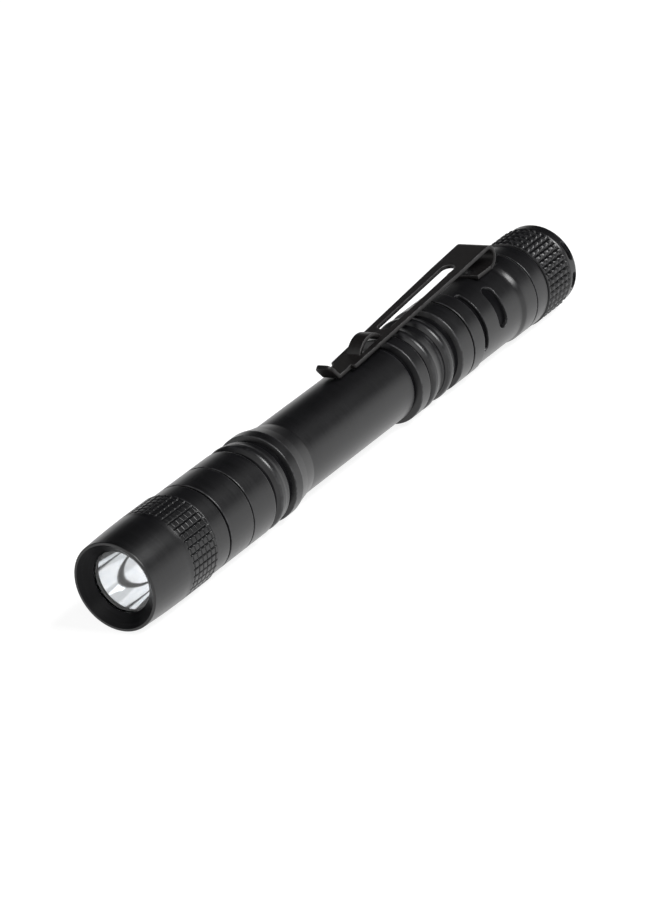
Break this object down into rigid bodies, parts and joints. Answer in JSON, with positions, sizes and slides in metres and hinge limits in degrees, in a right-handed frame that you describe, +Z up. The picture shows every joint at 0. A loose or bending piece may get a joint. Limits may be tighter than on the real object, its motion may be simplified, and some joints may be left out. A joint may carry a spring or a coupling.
{
  "type": "counterfeit detector pen",
  "caption": "Slim ultraviolet pen torch for checking banknotes, with knurled screw-on head and tail cap, push button and sprung pocket clip.",
  "frame": {"origin": "middle of the overall box, at the lowest point of the torch as it lies with its clip uppermost", "axes": "+X along the torch from the lens to the tail cap, +Z up towards the pocket clip, Y across"},
  "size_m": [0.1262, 0.0148, 0.0183],
  "materials": {
    "anodised_black": "satin black anodised",
    "clear_window": "clear, flat, lightly coated",
    "seal_rubber": "matt",
    "bright_bowl": "smooth vapour-plated mirror",
    "insulator": "matt",
    "led_body": "clear dome on a pale package",
    "white_board": "white solder mask",
    "brass_parts": "turned",
    "lead_wire": "insulated wire",
    "green_board": "green solder mask",
    "chip_plastic": "moulded",
    "spring_wire": "gold flashed",
    "cell_steel": "nickel plated",
    "cell_sleeve": "printed shrink sleeve, no lettering",
    "clip_steel": "blackened spring steel",
    "rivet_steel": "plain",
    "switch_plastic": "moulded",
    "plunger_plastic": "moulded",
    "button_rubber": "matt silicone"
  },
  "bodies": {
    "tube": {"barrel": "anodised_black", "head_o_ring": "seal_rubber", "cell_front": "cell_steel", "cell_front_wrap": "cell_sleeve", "cell_rear": "cell_steel", "cell_rear_wrap": "cell_sleeve", "clip_foot": "clip_steel", "clip_rivet": "rivet_steel"},
    "light_module": {"reflector": "bright_bowl", "led_gasket": "insulator", "uv_led": "led_body", "led_board": "white_board", "led_pill": "brass_parts", "led_leads": "lead_wire", "driver_board": "green_board", "driver_parts": "chip_plastic", "front_contact_spring": "spring_wire"},
    "head": {"head_shell": "anodised_black", "front_lens": "clear_window", "lens_o_ring": "seal_rubber"},
    "switch_module": {"tail_spring": "spring_wire", "switch_board": "green_board", "switch_terminals": "brass_parts", "switch_housing": "switch_plastic", "switch_spring": "spring_wire"},
    "cap": {"tail_cap": "anodised_black", "retaining_ring": "brass_parts", "tail_o_ring": "seal_rubber"},
    "button": {"switch_plunger": "plunger_plastic", "tail_button": "button_rubber"},
    "clip": {"pocket_clip": "clip_steel"}
  },
  "joints": [
    {"name": "head_turn", "type": "hinge", "parent": "light_module", "child": "head", "pos_m": [-0.05, 0, 0.00745], "axis": [-1, 0, 0], "range_deg": [0, 1800]},
    {"name": "head_slide", "type": "slide", "parent": "tube", "child": "light_module", "axis": [-1, 0, 0], "range_m": [0, 0.005]},
    {"name": "cap_turn", "type": "hinge", "parent": "switch_module", "child": "cap", "pos_m": [0.056, 0, 0.00745], "axis": [1, 0, 0], "range_deg": [0, 1800]},
    {"name": "cap_slide", "type": "slide", "parent": "tube", "child": "switch_module", "axis": [1, 0, 0], "range_m": [0, 0.005]},
    {"name": "button_press", "type": "slide", "parent": "switch_module", "child": "button", "axis": [-1, 0, 0], "range_m": [0, 0.0013], "stiffness_N_per_m": 400, "deforming": ["switch_spring"]},
    {"name": "clip_flex", "type": "hinge", "parent": "tube", "child": "clip", "pos_m": [0.0437, 0, 0.01455], "axis": [0, 1, 0], "range_deg": [0, 3], "stiffness_Nm_per_rad": 2.5}
  ],
  "couplings": [
    {"joint": "head_turn", "follows": "head_slide", "rad_per_m": 6283.2},
    {"joint": "cap_turn", "follows": "cap_slide", "rad_per_m": 6283.2}
  ]
}
